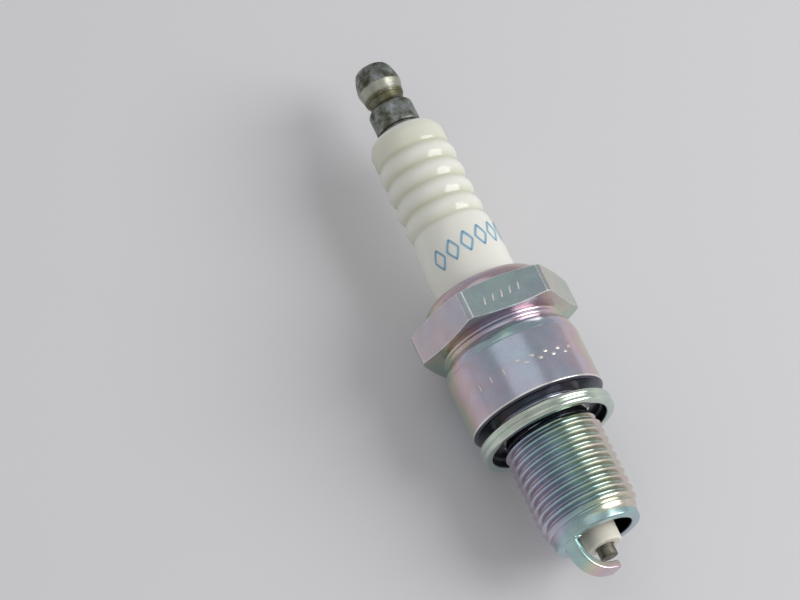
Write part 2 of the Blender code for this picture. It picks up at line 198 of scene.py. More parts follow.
class Look:
    """One procedural material, with short calls for its nodes. Sockets and plain values mix freely."""

    def __init__(self, name):
        self.material = bpy.data.materials.new(name)
        self.material.use_nodes = True
        self.tree = self.material.node_tree
        self.shader = self.tree.nodes["Principled BSDF"]
        # Millimetres along the plug, across it and upwards, and the turn as 0..1 with straight up at 0.5.
        x, y, z = self.split(self.add("ShaderNodeTexCoord").outputs["Object"])
        self.height = self.maths("MULTIPLY_ADD", y, 1 / MM, -SEAT_Y / MM)
        self.side = self.maths("MULTIPLY", x, 1 / MM)
        self.up = self.maths("MULTIPLY_ADD", z, 1 / MM, -AXIS_Z / MM)
        turn = self.maths("ARCTAN2", self.side, self.up)
        self.turn = self.maths("MULTIPLY_ADD", turn, 0.5 / math.pi, 0.5)
        self.place = self.join(self.side, self.height, self.up)
        # Stretched round the axis, so that noise reads as the marks of a lathe.
        around, along = 0.06, 3.0
        self.lines = self.join(
            self.maths("MULTIPLY", self.side, around),
            self.maths("MULTIPLY", self.height, along),
            self.maths("MULTIPLY", self.up, around),
        )

    def add(self, kind, **settings):
        node = self.tree.nodes.new(kind)
        for key, value in settings.items():
            setattr(node, key, value)
        return node

    def feed(self, socket, value):
        """Links another socket into an input, or sets the input's value."""
        if isinstance(value, bpy.types.NodeSocket):
            self.tree.links.new(value, socket)
        elif isinstance(value, tuple) and len(value) == 3 and socket.type == "RGBA":
            socket.default_value = (*value, 1.0)
        else:
            socket.default_value = value

    def split(self, vector):
        node = self.add("ShaderNodeSeparateXYZ")
        self.feed(node.inputs[0], vector)
        return node.outputs[0], node.outputs[1], node.outputs[2]

    def join(self, x, y, z):
        node = self.add("ShaderNodeCombineXYZ")
        for socket, value in zip(node.inputs, (x, y, z)):
            self.feed(socket, value)
        return node.outputs[0]

    def maths(self, operation, *values):
        node = self.add("ShaderNodeMath", operation=operation)
        for socket, value in zip(node.inputs, values):
            self.feed(socket, value)
        return node.outputs[0]

    def noise(self, vector, scale, detail=2.0, rough=0.5):
        node = self.add("ShaderNodeTexNoise")
        self.feed(node.inputs["Vector"], vector)
        self.feed(node.inputs["Scale"], scale)
        self.feed(node.inputs["Detail"], detail)
        self.feed(node.inputs["Roughness"], rough)
        return node.outputs["Fac"]

    def ramp(self, value, stops):
        node = self.add("ShaderNodeValToRGB")
        fill_ramp(node, stops)
        self.feed(node.inputs[0], value)
        return node.outputs[0]

    def mix(self, share, first, second, blend="MIX"):
        node = self.add("ShaderNodeMix", data_type="RGBA", blend_type=blend)
        self.feed(node.inputs[0], share)
        self.feed(node.inputs[6], first)
        self.feed(node.inputs[7], second)
        return node.outputs[2]

    def span(self, value, low, high, first=0.0, last=1.0):
        """Maps low..high to first..last, held at both ends."""
        node = self.add("ShaderNodeMapRange")
        for socket, number in zip(node.inputs, (value, low, high, first, last)):
            self.feed(socket, number)
        return node.outputs[0]

    def band(self, value, start, full, fade, end):
        """A share that is 1 from full to fade, and 0 before start and after end."""
        return self.maths("MULTIPLY", self.span(value, start, full), self.span(value, end, fade))

    def slide(self, share, first, second):
        """A value that goes from first to second as the share goes from 0 to 1."""
        return self.maths("MULTIPLY_ADD", self.maths("SUBTRACT", second, first), share, first)

    def radius(self):
        """Distance from the plug's axis, in millimetres."""
        squares = self.maths("MULTIPLY", self.side, self.side)
        return self.maths("SQRT", self.maths("MULTIPLY_ADD", self.up, self.up, squares))

    def bump(self, height, strength, distance):
        node = self.add("ShaderNodeBump")
        self.feed(node.inputs["Height"], height)
        self.feed(node.inputs["Strength"], strength)
        self.feed(node.inputs["Distance"], distance)
        self.tree.links.new(node.outputs[0], self.shader.inputs["Normal"])

    def set(self, **inputs):
        """Sets the shader's inputs, named with _ for a space, and gives back the material."""
        for key, value in inputs.items():
            self.feed(self.shader.inputs[key.replace("_", " ")], value)
        return self.material


def srgb(red, green, blue):
    """A colour given as 0..255 display values, as linear values."""
    return tuple(((value / 255 + 0.055) / 1.055) ** 2.4 for value in (red, green, blue))


# Display colours of the passivated film as it thickens. The order starts again after the last one.
STRAW = (222, 215, 190)
ROSE = (222, 192, 198)
LILAC = (197, 191, 212)
STEEL = (176, 190, 210)
TEAL = (168, 206, 208)
MINT = (188, 213, 190)
FILM_ORDER = (STRAW, ROSE, LILAC, STEEL, TEAL, MINT, STRAW)
# The turn where the film is thickest on the shell and the gasket, and the share of bare metal in its tint.
FILM_SIDE = -10
FILM_PALENESS = 0.2

BARE_ZINC = (212, 214, 214)
BRIGHT_ZINC = (232, 236, 236)
SEAT_SHADE = (88, 85, 98)
# Near-white zinc: the gasket's pale tint, and a painted highlight on the barrel's rim.
PALE_ZINC_AND_HIGHLIGHT = (250, 250, 246)
# Painted shade for the bore and for the inside of the gasket's fold.
HOLLOW_SHADE = (44, 46, 54)


def film(look, thickness):
    """The film's colour for a thickness counted in whole orders."""
    last = len(FILM_ORDER) - 1
    stops = [(index / last, srgb(*colour)) for index, colour in enumerate(FILM_ORDER)]
    return look.mix(FILM_PALENESS, look.ramp(look.maths("FRACT", thickness), stops), srgb(*BARE_ZINC))


def swing_round(look, middle, swing, side=FILM_SIDE):
    """A film thickness that is middle + swing on one side of the plug and middle - swing opposite."""
    angle = math.radians(side)
    towards = look.maths("MULTIPLY", look.side, math.sin(angle))
    towards = look.maths("MULTIPLY_ADD", look.up, math.cos(angle), towards)
    cosine = look.maths("DIVIDE", towards, look.radius())
    return look.maths("MULTIPLY_ADD", cosine, swing, middle)


def drift(look, thickness, amount):
    """Lets the film wander in slow clouds."""
    slow = look.maths("SUBTRACT", look.noise(look.place, 0.28, 4.0), 0.5)
    return look.maths("MULTIPLY_ADD", slow, amount, thickness)


def plating_finish(look, colour, roughness, lines):
    """Sets a plated colour with soft patches, fine specks and the marks left by turning."""
    grain = 0.08
    patch = look.ramp(look.noise(look.place, 0.55, 4.0), [(0.3, 0.93), (0.7, 1.05)])
    colour = look.mix(1.0, colour, patch, "MULTIPLY")
    speck = look.ramp(look.noise(look.place, 6.0, 5.0, 0.7), [(0.32, 1 - grain), (0.68, 1 + grain)])
    colour = look.mix(1.0, colour, speck, "MULTIPLY")
    turned = look.noise(look.lines, 4.0, 4.0, 0.6)
    fine = look.noise(look.place, 9.0, 4.0, 0.6)
    rough = look.maths("MULTIPLY_ADD", turned, 0.1, roughness - 0.08)
    rough = look.maths("MULTIPLY_ADD", fine, 0.06, rough)
    look.bump(look.maths("MULTIPLY_ADD", fine, 0.6, turned), lines, 0.00002)
    return look.set(Base_Color=colour, Metallic=1.0, Roughness=rough)


# Turned surfaces of the shell above the barrel: lower edge, film middle, film swing and lightness, which
# is painted shade on the zone.
SHELL_ZONES = (
    (8.68, -0.48, 1.16, 1.0),
    (10.7, -0.2, 0.5, 0.96),
    (11.95, -0.1, 0.32, 0.86),
    (17.3, -0.2, 0.44, 0.9),
)
# The film's middle and swing on the barrel and all below it, and on the hexagon's flats.
BARREL_FILM = (-0.15, 0.62)
FLAT_FILM = (-0.43, 1.08)


def facet_film(look):
    """Thickness on the hexagon: mostly one value for each flat, drifting a little across it."""
    evenness = 0.85
    facet = look.maths("ROUND", look.maths("MULTIPLY", look.turn, 6))
    angle = look.maths("MULTIPLY_ADD", facet, math.pi / 3, -math.pi - math.radians(FILM_SIDE))
    cosine = look.maths("COSINE", angle)
    middle, swing = FLAT_FILM
    even = look.maths("MULTIPLY_ADD", cosine, swing * evenness, middle)
    return look.maths("ADD", even, swing_round(look, 0.0, swing * (1 - evenness)))


def zinc_shell():
    """Zinc plating with a passivated film, whose thickness is different on each surface of the shell."""
    look = Look("zinc_film")
    thickness = swing_round(look, *BARREL_FILM)
    # Painted shade: each zone's lightness darkens its colour.
    light = (1.0, 1.0, 1.0)
    soft = 0.08
    for edge, middle, swing, shade_lightness in SHELL_ZONES:
        share = look.span(look.height, edge - soft, edge + soft)
        thickness = look.slide(share, thickness, swing_round(look, middle, swing))
        light = look.mix(share, light, (shade_lightness,) * 3)
    # The hexagon's flats: the faces between its cones that don't lean along the axis.
    normal = look.add("ShaderNodeNewGeometry").outputs["Normal"]
    along = look.maths("ABSOLUTE", look.split(normal)[1])
    between_cones = look.band(look.height, 11.95, 12.1, 17.2, 17.35)
    flat = look.maths("MULTIPLY", look.span(along, 0.5, 0.3), between_cones)
    thickness = look.slide(flat, thickness, facet_film(look))
    colour = film(look, drift(look, thickness, 0.45))
    # The painted shade goes on over the film's colour.
    colour = look.mix(1.0, colour, light, "MULTIPLY")
    colour = look.mix(look.maths("MULTIPLY", flat, 0.2), colour, srgb(*BRIGHT_ZINC))
    # Painted shade on the seat's face, and a painted highlight on the rim round it.
    seat = look.maths("MULTIPLY", look.span(look.height, 0.36, 0.3), look.span(look.radius(), 6.3, 6.6))
    colour = look.mix(seat, colour, srgb(*SEAT_SHADE))
    rim_highlight = look.band(look.height, 0.3, 0.38, 0.5, 0.62)
    colour = look.mix(rim_highlight, colour, srgb(*PALE_ZINC_AND_HIGHLIGHT))
    return plating_finish(look, colour, 0.22, 0.1)


def worn_edge_and_highlight():
    """Bare zinc rubbed along the hexagon's edges, painted lighter than the film as a highlight."""
    look = Look("worn_zinc_edge_and_highlight")
    worn = look.span(look.noise(look.place, 1.4, 4.0), 0.35, 0.6)
    colour = look.mix(worn, srgb(*BARE_ZINC), srgb(*BRIGHT_ZINC))
    return plating_finish(look, colour, 0.28, 0.1)


def ceramic():
    """Glazed alumina: warm white, with painted shade in the grooves that makes them darker and greener,
    specks and a faint orange peel. The nose at the firing end is bare, so it is duller and warmer."""
    look = Look("glazed_alumina")
    base = look.mix(look.noise(look.place, 0.25, 3.0), srgb(239, 239, 228), srgb(245, 245, 238))
    # Only the ribbed stretch has grooves.
    ribs = look.band(look.height, 27.5, 29.0, 44.4, 45.4)
    # Painted shade in the grooves, strongest where the radius is smallest.
    groove = look.maths("MULTIPLY", look.span(look.radius(), 5.72, 5.2), ribs)
    base = look.mix(look.maths("MULTIPLY", groove, 0.9), base, srgb(208, 209, 180))
    speck = look.ramp(look.noise(look.place, 5.0, 3.0, 0.7), [(0.26, 0.93), (0.34, 1.0)])
    base = look.mix(1.0, base, speck, "MULTIPLY")
    nose = look.span(look.height, -17.0, -10.0, 1.0, 0.0)
    base = look.mix(nose, base, srgb(238, 234, 218))
    look.bump(look.noise(look.place, 1.1, 3.0), 0.12, 0.00012)
    rough = look.maths("MULTIPLY_ADD", look.noise(look.place, 2.0, 2.0), 0.08, 0.1)
    rough = look.maths("MULTIPLY_ADD", nose, 0.4, rough)
    return look.set(
        Base_Color=base,
        Roughness=rough,
        Subsurface_Weight=0.18,
        Subsurface_Radius=(1.0, 0.95, 0.8),
        Subsurface_Scale=0.0012,
        IOR=1.58,
    )


def tarnished_nickel():
    """Dull nickel plate with olive and dark blotches, olive in the nut's waist and a painted highlight on
    the edge above it."""
    look = Look("tarnished_nickel")
    blotch = look.noise(look.place, 0.75, 6.0, 0.72)
    tarnish = [
        (0.30, srgb(66, 68, 54)),
        (0.42, srgb(104, 106, 90)),
        (0.52, srgb(136, 140, 134)),
        (0.66, srgb(166, 174, 176)),
    ]
    colour = look.ramp(blotch, tarnish)
    dark = look.noise(look.place, 1.6, 7.0, 0.8)
    top = look.span(look.height, 54.0, 57.0)
    spots = look.maths("MULTIPLY", look.span(dark, 0.5, 0.62), look.maths("MULTIPLY_ADD", top, 0.55, 0.2))
    colour = look.mix(spots, colour, srgb(46, 54, 66))
    waist = look.band(look.height, 50.4, 50.9, 52.4, 52.8)
    colour = look.mix(look.maths("MULTIPLY", waist, 0.6), colour, srgb(104, 98, 58))
    # Painted highlight: a pale band round the edge above the waist.
    edge = look.band(look.height, 52.3, 52.8, 53.8, 54.0)
    colour = look.mix(look.maths("MULTIPLY", edge, 0.55), colour, srgb(214, 214, 198))
    turned = look.noise(look.lines, 5.0, 4.0, 0.6)
    look.bump(look.maths("MULTIPLY_ADD", dark, 1.5, turned), 0.35, 0.00003)
    rough = look.span(blotch, 0.35, 0.65, 0.5, 0.3)
    rough = look.maths("SUBTRACT", rough, look.maths("MULTIPLY", edge, 0.08))
    return look.set(Base_Color=colour, Metallic=1.0, Roughness=rough)


def dark_nickel():
    """The centre electrode's alloy, darkened by heat."""
    look = Look("oxidised_nickel_alloy")
    scale = [(0.3, srgb(84, 80, 70)), (0.6, srgb(128, 124, 112)), (0.75, srgb(142, 136, 120))]
    colour = look.ramp(look.noise(look.place, 1.2, 5.0, 0.6), scale)
    look.bump(look.noise(look.place, 6.0, 4.0), 0.3, 0.00003)
    rough = look.span(look.noise(look.place, 3.0, 3.0), 0.3, 0.7, 0.35, 0.6)
    return look.set(Base_Color=colour, Metallic=0.85, Roughness=rough)


def plain(name, light, dark, metallic, roughness, scale=1.5):
    """A mottled finish for pieces inside the plug."""
    look = Look(name)
    cloud = look.noise(look.place, scale, 5.0, 0.65)
    colour = look.mix(look.span(cloud, 0.3, 0.7), srgb(*dark), srgb(*light))
    look.bump(look.noise(look.place, scale * 5, 4.0), 0.25, 0.00004)
    rough = look.span(cloud, 0.3, 0.7, roughness - 0.06, roughness + 0.06)
    return look.set(Base_Color=colour, Metallic=metallic, Roughness=rough)


def ink():
    """Pale blue print, thin in places."""
    look = Look("blue_print")
    colour = look.mix(look.noise(look.place, 2.2, 4.0), srgb(124, 172, 204), srgb(160, 198, 220))
    worn = look.ramp(look.noise(look.place, 7.0, 3.0), [(0.3, 0.94), (0.6, 1.0)])
    colour = look.mix(1.0, colour, worn, "MULTIPLY")
    return look.set(Base_Color=colour, Roughness=0.3)


# ---------------------------------------------------------------- terminal nut and insulator

NUT_TOP = 57.35
nut = lathe(
    "nut_body",
    rounded(
        [
            (0, NUT_TOP),
            (1.3, NUT_TOP),
            (1.92, NUT_TOP - 0.1),
            (2.36, NUT_TOP - 0.32),
            (2.63, NUT_TOP - 0.72),
            (2.78, NUT_TOP - 1.2),
            (3.03, 55.35),
            (3.2, 54.5),
            (3.24, 53.95, 0.09),
            (2.98, 52.95),
            (2.8, 52.02, 0.05),
            (2.66, 51.96, 0.04),
            (2.56, 51.55),
            (2.5, 51.2),
            (2.52, 50.98),
            (2.72, 50.78),
            (3.1, 50.42),
            (3.24, 50.2, 0.08),
            (3.27, 49.75),
            (3.27, 47.1, 0.08),
            (3.12, 46.95, 0.05),
            (2.28, 46.95, 0.05),
            (2.08, 47.15, 0.05),
            (2.08, 55.6, 0.1),
            (0, 56.1),
        ]
    ),
    tarnished_nickel(),
    "terminal_nut",
)
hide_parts("terminal_nut")

# The ribs, each with a groove under it: the first groove's height, their spacing and number, the radius
# of the first rib, the depth of a groove, and the share of that depth in the last one.
FIRST_GROOVE = 41.97
RIB_PITCH = 2.95
RIBS = 5
RIB_RADIUS = 5.68
RIB_DEPTH = 0.5
LAST_DEPTH = 0.75


def insulator_outline():
    """The shoulder, the ribs, the plain part, the shoulders inside the shell, the nose and the bore."""
    points = rounded([(2.2, 46.4), (3.0, 46.4, 0.1), (3.1, 46.34, 0.1)])[:-1]
    points += arc((3.05, 43.83), 2.5, 86, 12, 16)
    steps = 18
    first = FIRST_GROOVE + RIB_PITCH / 2
    taper = 0.05
    groove_rounding = 0.012
    # The topmost rib doesn't swell: the shoulder runs straight down to the first groove's flank.
    for step in range(6, RIBS * steps - steps // 2 + 1):
        ribs_down = step / steps
        swell = math.sqrt(math.cos(math.pi * ribs_down) ** 2 + groove_rounding) ** 0.9
        depth = RIB_DEPTH * (LAST_DEPTH if ribs_down > RIBS - 1 else 1.0)
        radius = RIB_RADIUS + taper * ribs_down / RIBS - depth * (1 - min(swell, 1.0))
        points.append((radius, first - ribs_down * RIB_PITCH))
    last = first - RIBS * RIB_PITCH
    points += rounded(
        [
            (5.44, last + 1.35),
            (5.74, last + 0.75),
            (5.9, last - 0.2),
            (6.0, last - 1.6),
            (6.05, last - 3.4),
            (6.05, 9.9),
            (7.25, 9.3, 0.2),
            (7.25, 4.85, 0.2),
            (5.12, 2.75, 0.3),
            (5.12, -4.25, 0.3),
            (4.15, -5.0, 0.2),
            (3.9, -6.5),
            (2.9, -13.5),
            (2.62, -18.0),
            (2.62, -20.7, 0.32),
            (1.38, -20.7, 0.05),
            (1.35, -20.6, 0.05),
            (1.35, 0.6, 0.1),
            (2.0, 1.3, 0.1),
            (2.0, 46.2, 0.05),
            (2.2, 46.4),
        ]
    )
    return points


insulator = lathe("insulator_body", insulator_outline(), ceramic(), "root", 144, 50)
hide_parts("insulator")


# ---------------------------------------------------------------- shell

# From the middle of a flat to where its turned corner starts, in degrees.
CORNER_TURN = math.degrees(math.acos(FLAT / CORNER))


def hexagon_turns():
    """Angles of the shell's columns, closer together near the hexagon's corners."""
    half = [4.0 * step for step in range(1, 7)] + [26.5, CORNER_TURN, 29.0]
    one = [-v for v in reversed(half)] + [0.0] + half + [30.0]
    return [60 * side + turn for side in range(6) for turn in one]


def off_flat(turn):
    """Angle from the middle of the nearest flat."""
    return (turn + 30) % 60 - 30


def shell_body():
    """Lip, hexagon, groove, barrel, seat and neck. The hexagon's rows follow the curves where its flats
    cut the cones above and below it, so its edges stay exact."""
    above = rounded([(6.17, 18.85, 0), (6.17, 19.33, 0.08), (6.34, 19.52, 0.12)])[:-1]
    above += arc((7.0, 17.9), 1.75, 112, 2, 22)
    above += [(8.75, 17.56), (8.82, 17.5)]
    cone_top, cone_low = (8.9, 17.48), (8.95, 11.93)
    rise = (HEX_HIGH - cone_top[1]) / (CORNER - cone_top[0])
    drop = (HEX_LOW - cone_low[1]) / (CORNER - cone_low[0])
    below = rounded(
        [
            (8.92, 11.92),
            (8.86, 11.9, 0.03),
            (8.82, 11.7, 0.08),
            (8.5, 11.5),
            (8.4, 11.3),
            (8.4, 10.96),
            (8.46, 10.76, 0.08),
            (8.8, 10.7),
            (9.15, 10.4),
            (9.42, 9.8),
            (9.58, 9.15),
            (9.62, 8.78, 0.05),
            (9.69, 8.66, 0.05),
            (BARREL, 8.3, 0.1),
            (BARREL, 0.38, 0.05),
            (9.4, 0.06, 0.08),
            (9.2, 0, 0.06),
            (6.3, 0, 0.15),
            (6.1, -0.2, 0.15),
            (6.1, -3.05, 0),
            (5.25, -3.05, 0),
            (5.25, 2.6, 0.2),
            (7.4, 4.7, 0.2),
            (7.4, 18.4, 0.2),
            (6.17, 18.85),
        ]
    )[:-1]
    work = bmesh.new()
    weight = work.edges.layers.float.new("bevel_weight_edge")
    turns = hexagon_turns()
    columns = []
    cone_shares = (0.0, 0.35, 0.7)
    flat_steps = 6
    for turn in turns:
        radius = min(FLAT / math.cos(math.radians(off_flat(turn))), CORNER)
        top = (radius, cone_top[1] + rise * (radius - cone_top[0]))
        low = (radius, cone_low[1] + drop * (radius - cone_low[0]))
        cone = [between(cone_top, top, share) for share in cone_shares]
        middle = [between(top, low, step / flat_steps) for step in range(1, flat_steps)]
        under = [between(cone_low, low, share) for share in reversed(cone_shares)]
        columns.append([*above, *cone, top, *middle, low, *under, *below])
    top_row = len(above) + len(cone_shares)
    low_row = top_row + flat_steps
    rings = []
    for row in range(len(columns[0])):
        rings.append([work.verts.new(point(*column[row], turn)) for column, turn in zip(columns, turns)])
    grid_faces(work, rings, True)
    work.edges.ensure_lookup_table()
    # The edges to bevel: round the top and the foot of the flats, and down both sides of each flat.
    corners = [j for j, turn in enumerate(turns) if abs(abs(off_flat(turn)) - CORNER_TURN) < 0.1]
    marked = []
    for row in (top_row, low_row):
        marked += [(rings[row][j - 1], rings[row][j]) for j in range(len(turns))]
    for row in range(top_row, low_row):
        marked += [(rings[row][j], rings[row + 1][j]) for j in corners]
    for first, second in marked:
        work.edges.get((first, second))[weight] = 1.0
    piece = finish_mesh(work, "shell_body", zinc_shell(), "root", 30)
    bevel = piece.modifiers.new("edges", "BEVEL")
    bevel.limit_method = "WEIGHT"
    bevel.width = 0.1 * MM
    bevel.segments = 3
    # The bevelled edges get worn zinc with a painted highlight.
    piece.data.materials.append(worn_edge_and_highlight())
    bevel.material = 1
    bevel.harden_normals = True
    return piece


shell = shell_body()
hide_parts("metal_shell")


# Distances from a crest's middle, along the axis: the crest's edge, the flank's foot and the next root.
CREST_EDGE = 0.075
FLANK_FOOT = 0.47
ROOT_MIDDLE = THREAD_PITCH / 2


def tooth(phase):
    """Share of the thread's depth at a distance from the crest's middle, in millimetres."""
    away = abs(phase)
    crest_drop, foot = 0.03, 0.05
    if away <= CREST_EDGE:
        return 1 - crest_drop * (away / CREST_EDGE) ** 2
    if away >= FLANK_FOOT:
        return foot * ((ROOT_MIDDLE - away) / (ROOT_MIDDLE - FLANK_FOOT)) ** 2
    down = (away - CREST_EDGE) / (FLANK_FOOT - CREST_EDGE)
    return 1 - crest_drop - (1 - crest_drop - foot) * down


def thread_envelope(height):
    """Largest radius of the thread at a height: it fades out at the neck and into the nose."""
    grow = THREAD_MAJOR - THREAD_CORE
    top = min(1.0, max(0.0, (THREAD_TOP - height) / TOP_RUNOUT))
    low = min(1.0, max(0.0, (height - THREAD_LOW) / LOW_RUNOUT))
    return THREAD_CORE + grow * min(top, low)


def thread_body():
    """The threaded reach with its nose and bore, as one helical grid closed by turned ends. Each turn's
    last column meets the next turn's first, and what passes an end folds flat on its ring: the merge in
    finish_mesh takes up both."""
    columns = 120
    half = [0.03, CREST_EDGE, 0.2, 0.34, FLANK_FOOT, 0.55]
    phases = [-ROOT_MIDDLE] + [-v for v in reversed(half)] + half
    work = bmesh.new()
    rows = []
    for turn_index in range(-1, 14):
        for phase in phases:
            row = []
            for j in range(columns + 1):
                turn = 360 * j / columns - 180
                centre = THREAD_START + THREAD_PITCH * (turn_index + turn / 360)
                height = min(THREAD_TOP, max(THREAD_LOW, centre + phase))
                full = THREAD_CORE + (THREAD_MAJOR - THREAD_CORE) * tooth(phase)
                radius = max(THREAD_CORE, min(full, thread_envelope(height)))
                row.append(work.verts.new(point(radius, height, turn)))
            rows.append(row)
    for upper, lower in zip(rows, rows[1:]):
        for j in range(columns):
            work.faces.new((upper[j], upper[j + 1], lower[j + 1], lower[j]))
    turns = [360 * j / columns - 180 for j in range(columns)]
    ends = rounded(
        [
            (THREAD_CORE, THREAD_LOW, 0),
            (6.2, -18.0),
            (6.14, 0.22 - REACH, 0.06),
            (5.98, -REACH, 0.08),
            (4.95, -REACH, 0.06),
            (4.8, 0.15 - REACH, 0.08),
            (4.8, -6.9, 0.1),
            (4.3, -6.4, 0.1),
            (4.3, -5.2, 0),
            (5.25, -4.5, 0),
            (5.25, -2.9, 0),
            (6.08, -2.9, 0),
            (THREAD_CORE, THREAD_TOP),
        ]
    )
    rings = [[work.verts.new(point(radius, height, turn)) for turn in turns] for radius, height in ends]
    grid_faces(work, rings, False)
    return finish_mesh(work, "shell_thread", thread_zinc(), "root", 38)


# The film's middle, swing and thickest side on the thread, its middle and swing on the nose, and how much
# the roots change its thickness, with their painted shade.
THREAD_FILM = (0.68, 0.4, 62)
NOSE_FILM = (0.58, 0.1)
ROOT_STEP = -0.2
ROOT_SHADE = (84, 92, 116)


def thread_zinc():
    """The film on the thread is thickest on another side than the shell's, and thinner in the roots and on
    the flanks that face away from the nose, which also get painted shade. The bore gets painted shade too."""
    look = Look("zinc_film_thread")
    # Phase of the helix: 0 and 1 at a root, 0.5 at a crest.
    wave = look.maths("MULTIPLY_ADD", look.height, 1 / THREAD_PITCH, 1 - THREAD_START / THREAD_PITCH)
    wave = look.maths("FRACT", look.maths("SUBTRACT", wave, look.turn))
    root = look.ramp(wave, [(0.0, 1.0), (0.06, 1.0), (0.16, 0.0), (0.5, 0.0), (0.6, 0.7), (0.94, 0.95)])
    root = look.maths("MULTIPLY", root, look.band(look.height, -17.2, -16.2, -3.2, -2.9))
    thickness = look.maths("MULTIPLY_ADD", root, ROOT_STEP, swing_round(look, *THREAD_FILM))
    nose = look.span(look.height, -17.9, -18.1)
    thickness = look.slide(nose, thickness, swing_round(look, *NOSE_FILM))
    colour = film(look, drift(look, thickness, 0.3))
    # Painted shade in the roots and on the flanks that face away from the nose.
    colour = look.mix(look.maths("MULTIPLY", root, 0.38), colour, srgb(*ROOT_SHADE))
    # Painted shade down the bore.
    bore = look.span(look.radius(), 4.95, 4.82)
    colour = look.mix(bore, colour, srgb(*HOLLOW_SHADE))
    return plating_finish(look, colour, 0.24, 0.12)


thread = thread_body()
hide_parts("metal_shell")


# ---------------------------------------------------------------- gasket

GASKET_MIDDLE = -2.45
GASKET_FILM = (0.76, 0.1)


def gasket_zinc():
    """A pale even film on the folded sheet, with painted shade inside the fold."""
    look = Look("folded_sheet_film")
    colour = film(look, drift(look, swing_round(look, *GASKET_FILM), 0.25))
    colour = look.mix(0.3, colour, srgb(*PALE_ZINC_AND_HIGHLIGHT))
    # Painted shade inside the fold.
    low_half = look.span(look.height, -1.78, -1.92)
    fold_shade = look.maths("MULTIPLY", look.span(look.radius(), 8.62, 8.5), low_half)
    colour = look.mix(fold_shade, colour, srgb(*HOLLOW_SHADE))
    return plating_finish(look, colour, 0.2, 0.16)


def gasket_outline():
    """A strip of sheet folded into two rolls, with a lip inside that keeps it on the neck."""
    middle, roll = GASKET_MIDDLE, 0.5
    centre = 9.26
    points = rounded([(6.62, middle + 0.52, 0), (6.62, middle + 0.84, 0.1), (8.0, middle + 1.0)])
    points += [(centre - 0.3, middle + 0.985)]
    points += arc((centre, middle + 0.49), roll, 96, -62, 18)
    points += [(centre + 0.21, middle), (centre + 0.21, middle - 0.02)]
    points += arc((centre, middle - 0.49), roll, 62, -90, 18)
    points += rounded(
        [
            (centre - 0.05, middle - 1.0),
            (8.7, middle - 1.0, 0.1),
            (8.46, middle - 0.86),
            (8.4, middle - 0.55),
            (8.5, middle + 0.1),
            (8.2, middle + 0.46, 0.2),
            (6.62, middle + 0.52),
        ]
    )
    return points[:-1]


gasket = lathe("gasket_ring", gasket_outline(), gasket_zinc(), "gasket", 160, 60)
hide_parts("gasket")


# ---------------------------------------------------------------- electrodes

# The strap: its side of the plug, its section, the bend's inner radius, the leg's outer face and its
# middle as distances from the axis, the height of the face that the spark jumps to, and the tip's end,
# just past the axis.
STRAP_TURN = math.radians(-62.8)
STRAP_WIDTH = 2.5
STRAP_THICKNESS = 1.15
STRAP_BEND = 3.1
STRAP_OUTER = 5.65
STRAP_LEG = STRAP_OUTER - STRAP_THICKNESS / 2
STRAP_FACE = -23.25
STRAP_TIP = -0.15
STRAP_OUTWARD = Vector((math.sin(STRAP_TURN), 0, math.cos(STRAP_TURN)))
STRAP_SIDE = Vector((math.cos(STRAP_TURN), 0, -math.sin(STRAP_TURN)))

STRAP_FILM_LEG = 0.7
STRAP_FILM_BEND = 1.2


def strap_tints():
    """Teal on the leg, through mint and straw to rose where the bar bends over."""
    look = Look("zinc_film_strap")
    bend = look.span(look.height, -22.2, -24.3, STRAP_FILM_LEG, STRAP_FILM_BEND)
    return plating_finish(look, film(look, drift(look, bend, 0.2)), 0.24, 0.15)


strap_zinc = strap_tints()


def strap_body():
    """A rectangular bar with rounded edges, swept down the leg, round the bend and out to the tip."""
    along = Vector((0, 1, 0))
    half = STRAP_THICKNESS / 2
    bend = STRAP_BEND + half
    centre = (STRAP_LEG - bend, STRAP_FACE + STRAP_BEND)
    path = [((STRAP_LEG, 0.05 - REACH), 0.0), ((STRAP_LEG, -0.5 - REACH), 0.0)]
    steps = 22
    for step in range(steps + 1):
        angle = math.radians(-90 * step / steps)
        place = (centre[0] + bend * math.cos(angle), centre[1] + bend * math.sin(angle))
        path.append((place, angle))
    end = (STRAP_TIP, STRAP_FACE - half)
    path += [((end[0] + 0.9, end[1]), -math.pi / 2), ((end[0] + 0.2, end[1]), -math.pi / 2)]
    # A section is its middle, its lean and its size: the last two ease the tip's edges.
    sections = [(place, angle, 1.0) for place, angle in path]
    sections += [
        ((end[0] + 0.06, end[1]), -math.pi / 2, 0.96),
        ((end[0], end[1]), -math.pi / 2, 0.84),
    ]
    edge_radius = 0.26
    section = []
    for corner_x, corner_y, start in ((1, 1, 0), (-1, 1, 90), (-1, -1, 180), (1, -1, 270)):
        for step in range(7):
            angle = math.radians(start + 15 * step)
            section.append(
                (
                    corner_x * (STRAP_WIDTH / 2 - edge_radius) + edge_radius * math.cos(angle),
                    corner_y * (half - edge_radius) + edge_radius * math.sin(angle),
                )
            )
    work = bmesh.new()
    rings = []
    for (distance, height), angle, size in sections:
        normal = STRAP_OUTWARD * math.cos(angle) + along * math.sin(angle)
        middle = point(0, height, 0) + STRAP_OUTWARD * distance * MM
        shrink_wide = 1 - (1 - size) * 0.45
        ring = []
        for wide, thick in section:
            offset = STRAP_SIDE * wide * shrink_wide + normal * thick * size
            ring.append(work.verts.new(middle + offset * MM))
        rings.append(ring)
    capped_tube(work, rings)
    return finish_mesh(work, "side_electrode", strap_zinc, "root", 40)


strap = strap_body()
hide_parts("ground_electrode")


